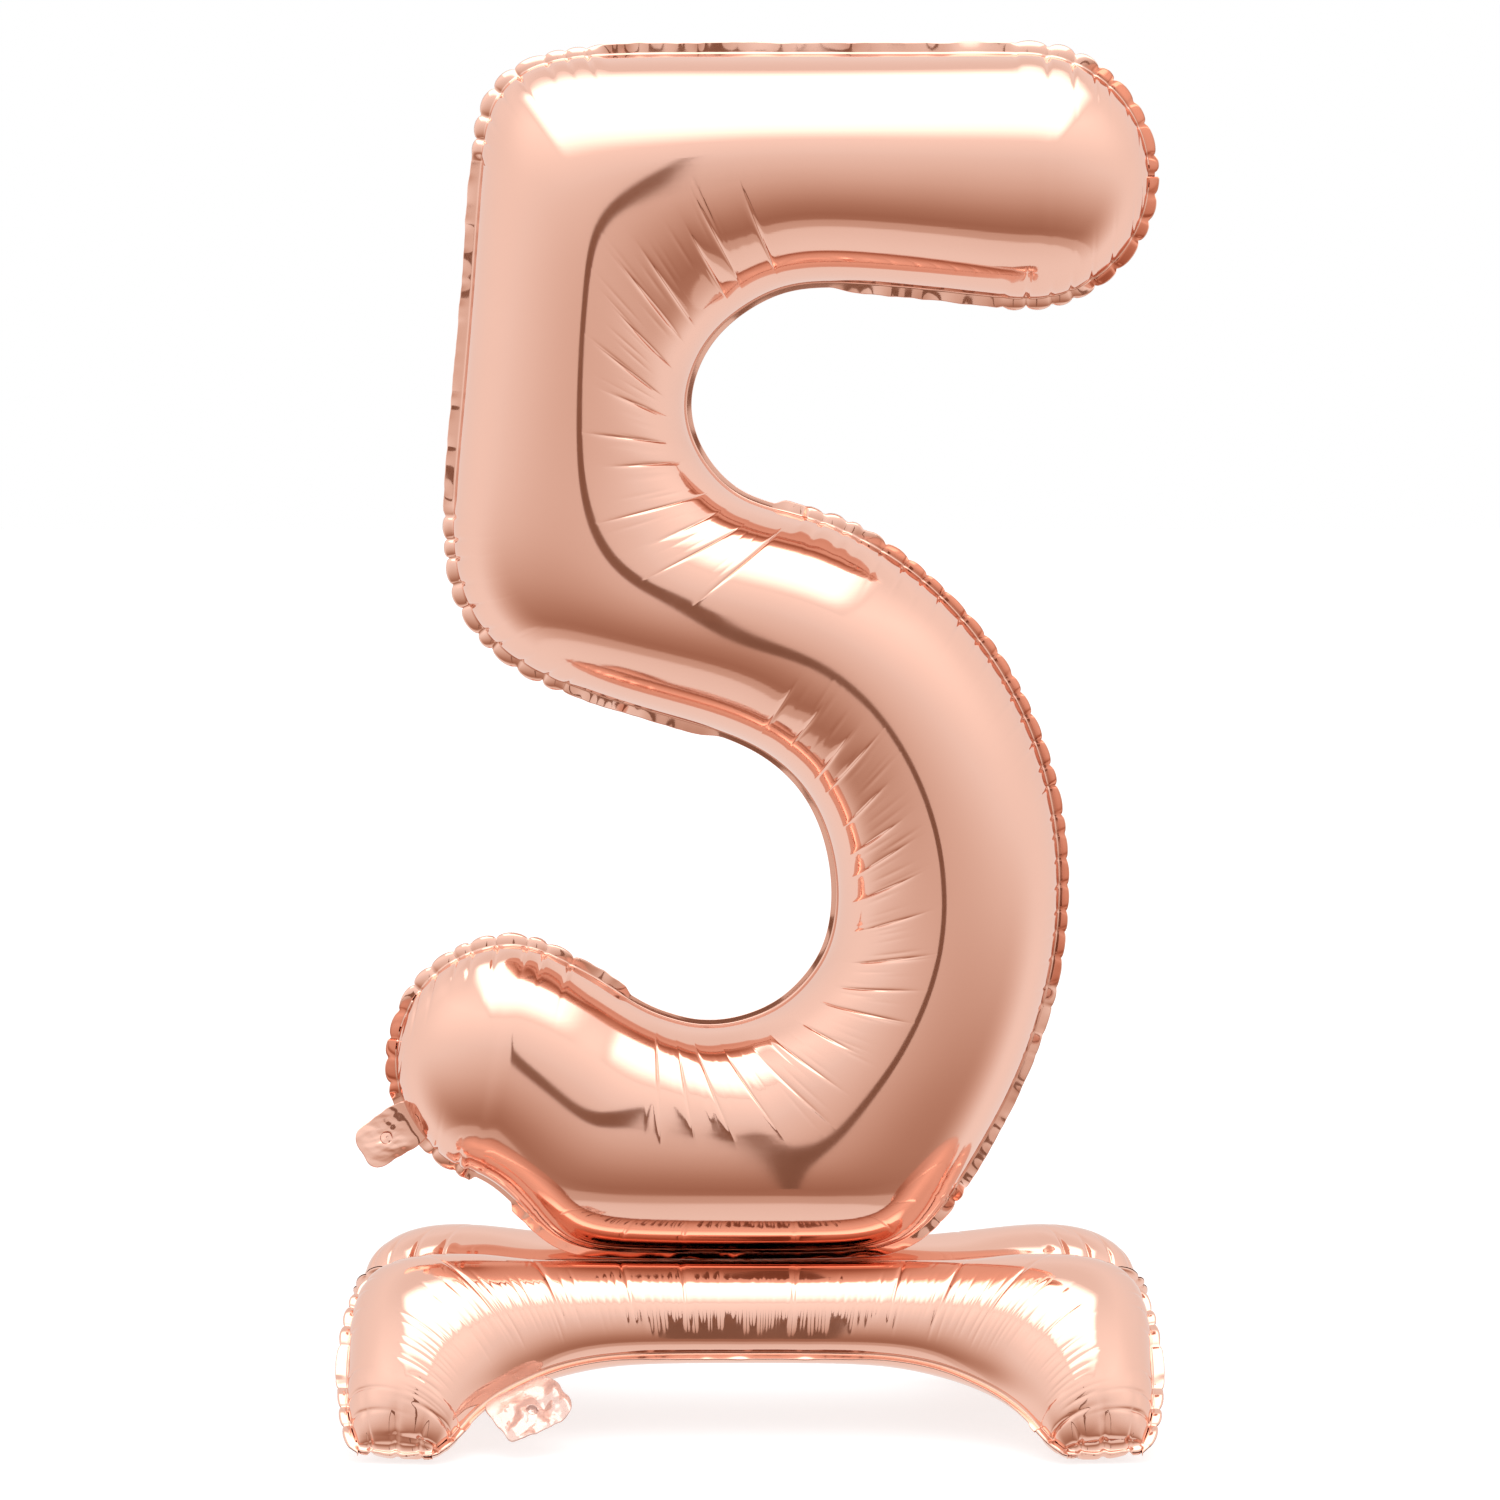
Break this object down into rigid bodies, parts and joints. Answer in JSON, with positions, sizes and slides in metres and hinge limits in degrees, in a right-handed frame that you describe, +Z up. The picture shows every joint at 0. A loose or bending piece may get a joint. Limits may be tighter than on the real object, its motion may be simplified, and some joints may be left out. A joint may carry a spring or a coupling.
{
  "type": "foil number balloon",
  "caption": "Free-standing foil balloon in the shape of the digit five, on two splayed air-filled legs, with soft filling tabs.",
  "frame": {"origin": "centre of the bounding box, on the plane that the feet stand on", "axes": "+Z up along the height, -Y to the front from which the digit reads, +X to the reader's right"},
  "size_m": [0.4474, 0.227, 0.757],
  "materials": {
    "foil": "rose-gold metallised film, mirror-like, with fine roller lines",
    "valve_film": "thin clear film, slightly crumpled, glossy"
  },
  "bodies": {
    "number": {"number_front_panel": "foil", "number_rear_panel": "foil", "number_valve_front_film": "valve_film", "number_valve_rear_film": "valve_film"},
    "number_tab": {"number_tab_front_layer": "foil", "number_tab_rear_layer": "foil"},
    "front_leg": {"front_leg_outer_panel": "foil", "front_leg_inner_panel": "foil", "front_leg_valve_front_film": "valve_film", "front_leg_valve_rear_film": "valve_film"},
    "front_leg_tab": {"front_leg_tab_front_layer": "valve_film", "front_leg_tab_rear_layer": "valve_film"},
    "rear_leg": {"rear_leg_outer_panel": "foil", "rear_leg_inner_panel": "foil", "rear_leg_valve_front_film": "valve_film", "rear_leg_valve_rear_film": "valve_film"},
    "rear_leg_tab": {"rear_leg_tab_front_layer": "valve_film", "rear_leg_tab_rear_layer": "valve_film"}
  },
  "joints": [
    {"name": "front_leg_splay", "type": "hinge", "parent": "number", "child": "front_leg", "pos_m": [0, 0, 0.0885], "axis": [-1, 0, 0], "range_deg": [-3, 12], "stiffness_Nm_per_rad": 0.8},
    {"name": "rear_leg_splay", "type": "hinge", "parent": "number", "child": "rear_leg", "pos_m": [0, 0, 0.0885], "axis": [1, 0, 0], "range_deg": [-3, 12], "stiffness_Nm_per_rad": 0.8},
    {"name": "number_tab_bend", "type": "hinge", "parent": "number", "child": "number_tab", "pos_m": [-0.18773, 0, 0.16561], "axis": [-0.5291, 0, 0.8486], "range_deg": [-50, 50], "stiffness_Nm_per_rad": 0.0005},
    {"name": "front_leg_tab_bend", "type": "hinge", "parent": "front_leg", "child": "front_leg_tab", "pos_m": [-0.12479, -0.07665, 0.03011], "axis": [-0.8366, -0.4357, -0.3319], "range_deg": [-20, 50], "stiffness_Nm_per_rad": 0.0005},
    {"name": "rear_leg_tab_bend", "type": "hinge", "parent": "rear_leg", "child": "rear_leg_tab", "pos_m": [0.12479, 0.07665, 0.03011], "axis": [0.8366, 0.4357, -0.3319], "range_deg": [-20, 50], "stiffness_Nm_per_rad": 0.0005}
  ]
}
